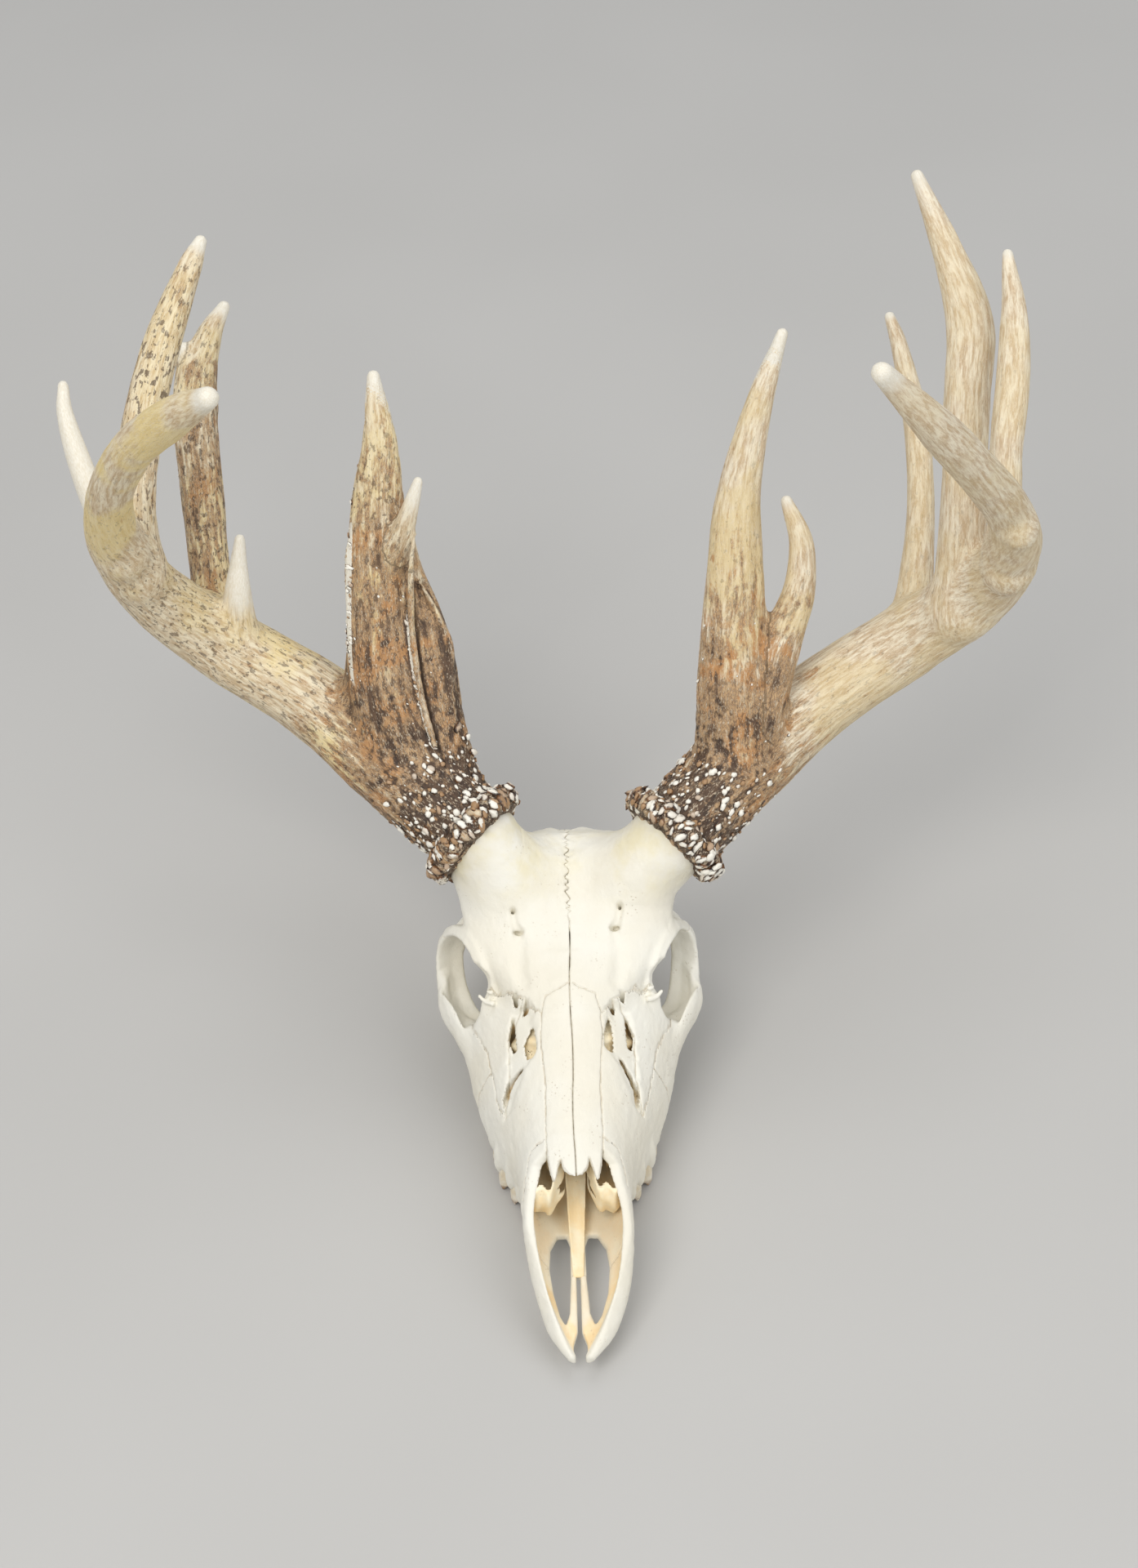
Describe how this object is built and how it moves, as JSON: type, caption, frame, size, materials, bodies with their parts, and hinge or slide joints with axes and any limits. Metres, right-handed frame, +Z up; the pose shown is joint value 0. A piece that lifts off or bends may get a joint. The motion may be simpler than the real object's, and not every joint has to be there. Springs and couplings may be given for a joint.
{
  "type": "white-tailed deer skull with antlers",
  "caption": "Bleached buck skull without its lower jaw, with open nose and eye sockets and a pair of branching antlers, resting on its cheek teeth.",
  "frame": {"origin": "the middle of the outer box in X and Y, at the level that the skull rests on", "axes": "+Z up, from the chewing plane of the cheek teeth; -Y towards the nose; +X towards the animal's left"},
  "size_m": [0.4354, 0.4244, 0.4206],
  "materials": {
    "bone": "matte bleached bone",
    "inner_bone": "matte, thin tan bone",
    "burr": "rough, dark with pale knobs",
    "dark_antler": "grooved and beaded brown antler",
    "pale_antler": "grooved tan antler with polished tips"
  },
  "bodies": {
    "root": {"nasal_right": "bone", "frontal_right": "bone", "lacrimal_right": "bone", "zygomatic_right": "bone", "premaxilla_right": "bone", "maxilla_right": "bone", "nasal_left": "bone", "frontal_left": "bone", "lacrimal_left": "bone", "zygomatic_left": "bone", "premaxilla_left": "bone", "maxilla_left": "bone", "occipital": "bone", "sphenoid": "bone", "braincase": "bone", "vomer": "inner_bone", "ethmoid": "inner_bone", "turbinate_right": "inner_bone", "turbinate_left": "inner_bone", "right_burr": "burr", "right_beam_base": "pale_antler", "right_beam_middle": "pale_antler", "right_beam_outer": "pale_antler", "right_beam_end": "pale_antler", "right_brow_blade": "dark_antler", "right_brow_inner_blade": "dark_antler", "right_brow_spur": "dark_antler", "right_second_tine": "pale_antler", "right_third_tine": "pale_antler", "right_fourth_tine": "pale_antler", "right_kicker": "pale_antler", "left_burr": "burr", "left_beam_base": "pale_antler", "left_beam_middle": "pale_antler", "left_beam_outer": "pale_antler", "left_beam_end": "pale_antler", "left_brow_tine": "dark_antler", "left_brow_fork": "dark_antler", "left_second_tine": "pale_antler", "left_third_tine": "pale_antler", "left_fourth_tine": "pale_antler", "left_broken_point": "pale_antler"}
  },
  "joints": []
}
